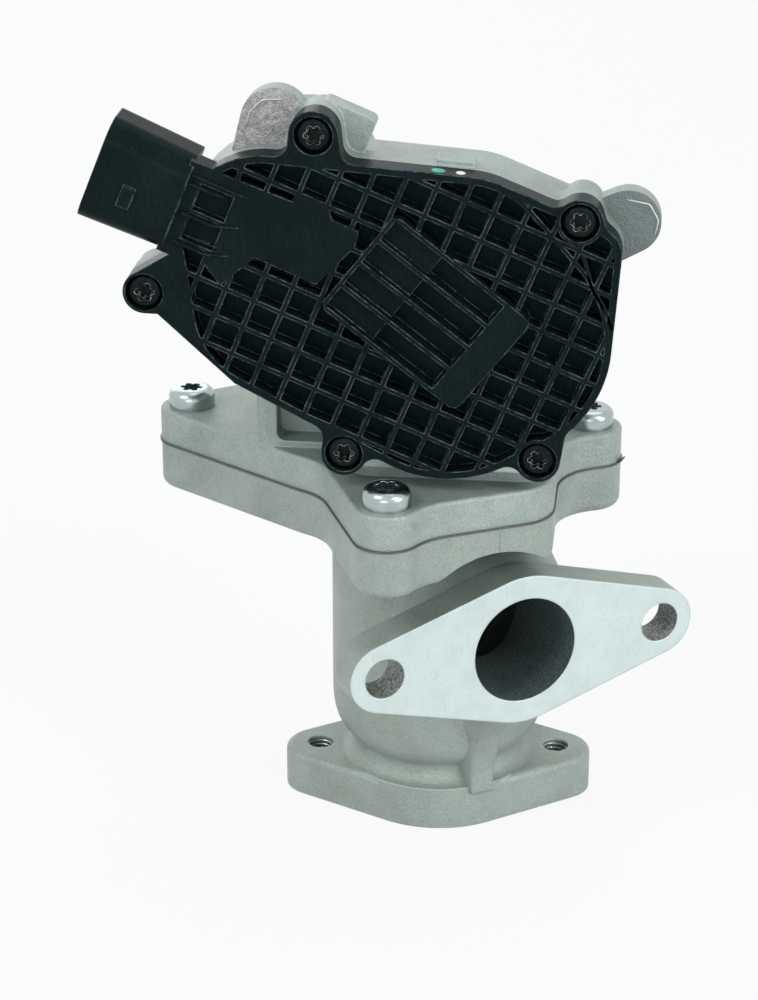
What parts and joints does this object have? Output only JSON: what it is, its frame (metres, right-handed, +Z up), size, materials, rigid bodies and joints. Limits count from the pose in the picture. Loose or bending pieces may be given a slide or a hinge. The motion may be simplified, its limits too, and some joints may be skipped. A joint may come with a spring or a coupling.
{
  "type": "egr valve",
  "caption": "Electric exhaust-gas recirculation valve: cast body with side port and base flange, geared actuator with ribbed cover and slanted connector.",
  "frame": {"origin": "on the valve axis at the lower machined face of the base flange", "axes": "+Z up along the valve stem towards the actuator, -Y towards the gear cover, +X to the right seen from the cover"},
  "size_m": [0.1271, 0.1166, 0.1744],
  "materials": {
    "cast_aluminium": "rough cast, machined on the mating faces",
    "black_plastic": "glass-filled moulding",
    "zinc_steel": "zinc plated",
    "black_steel": "black phosphate",
    "stainless": "turned, heat resistant",
    "spring_steel": "ground",
    "bronze": "sintered",
    "copper": "drawn",
    "tin": "tinned contacts",
    "black_rubber": "moulded",
    "gear_plastic": "moulded, natural colour",
    "magnet": "sintered or stamped",
    "board": "lacquered board",
    "gasket": "coated sheet"
  },
  "bodies": {
    "housing": {"valve_body": "cast_aluminium", "valve_seat": "stainless", "stem_bush": "bronze", "stem_seal": "black_rubber", "spring_seat": "stainless", "return_spring": "spring_steel", "shaft_bush": "bronze", "rear_bearing": "spring_steel", "rear_cap": "zinc_steel", "gear_pin": "spring_steel", "motor_can": "zinc_steel", "motor_bushes": "bronze", "motor_end_plate": "zinc_steel", "motor_screws": "zinc_steel", "motor_magnets": "magnet", "brush_holder": "black_plastic", "motor_brushes": "copper", "actuator_housing": "cast_aluminium", "gear_cover": "black_plastic", "connector_pins": "tin", "sensor_board": "board", "cover_seal": "black_rubber", "body_gasket": "gasket", "foot_screws": "zinc_steel", "cover_screws": "black_steel"},
    "output": {"output_gear": "gear_plastic", "sensor_magnet": "magnet", "output_shaft": "spring_steel", "lift_cam": "spring_steel"},
    "intermediate": {"intermediate_gear": "gear_plastic"},
    "rotor": {"motor_pinion": "bronze", "motor_shaft": "spring_steel", "armature": "magnet", "commutator": "copper"},
    "poppet": {"valve_stem": "stainless", "valve_head": "stainless", "stem_fork": "stainless", "roller_pin": "spring_steel", "spring_retainer": "stainless"},
    "roller": {"cam_roller": "spring_steel"}
  },
  "joints": [
    {"name": "stem_slide", "type": "slide", "parent": "housing", "child": "poppet", "axis": [0, 0, -1], "range_m": [0, 0.007], "stiffness_N_per_m": 1500, "springref_m": -0.012, "deforming": ["return_spring"]},
    {"name": "cam_turn", "type": "hinge", "parent": "housing", "child": "output", "pos_m": [0, 0, 0.124], "axis": [0, 1, 0], "range_deg": [0, 75.01]},
    {"name": "intermediate_spin", "type": "hinge", "parent": "housing", "child": "intermediate", "pos_m": [-0.02652, -0.0245, 0.12906], "axis": [0, 1, 0], "range_deg": [-300.04, 0]},
    {"name": "motor_spin", "type": "hinge", "parent": "housing", "child": "rotor", "pos_m": [-0.031, -0.0245, 0.144], "axis": [0, 1, 0], "range_deg": [0, 1000.13]},
    {"name": "roller_spin", "type": "hinge", "parent": "poppet", "child": "roller", "pos_m": [0, 0, 0.114], "axis": [0, 1, 0], "range_deg": [-214.34, 0]}
  ],
  "couplings": [
    {"joint": "cam_turn", "follows": "stem_slide", "rad_per_m": 187},
    {"joint": "intermediate_spin", "follows": "stem_slide", "rad_per_m": -748},
    {"joint": "motor_spin", "follows": "stem_slide", "rad_per_m": 2493.3},
    {"joint": "roller_spin", "follows": "stem_slide", "rad_per_m": -534.28}
  ]
}
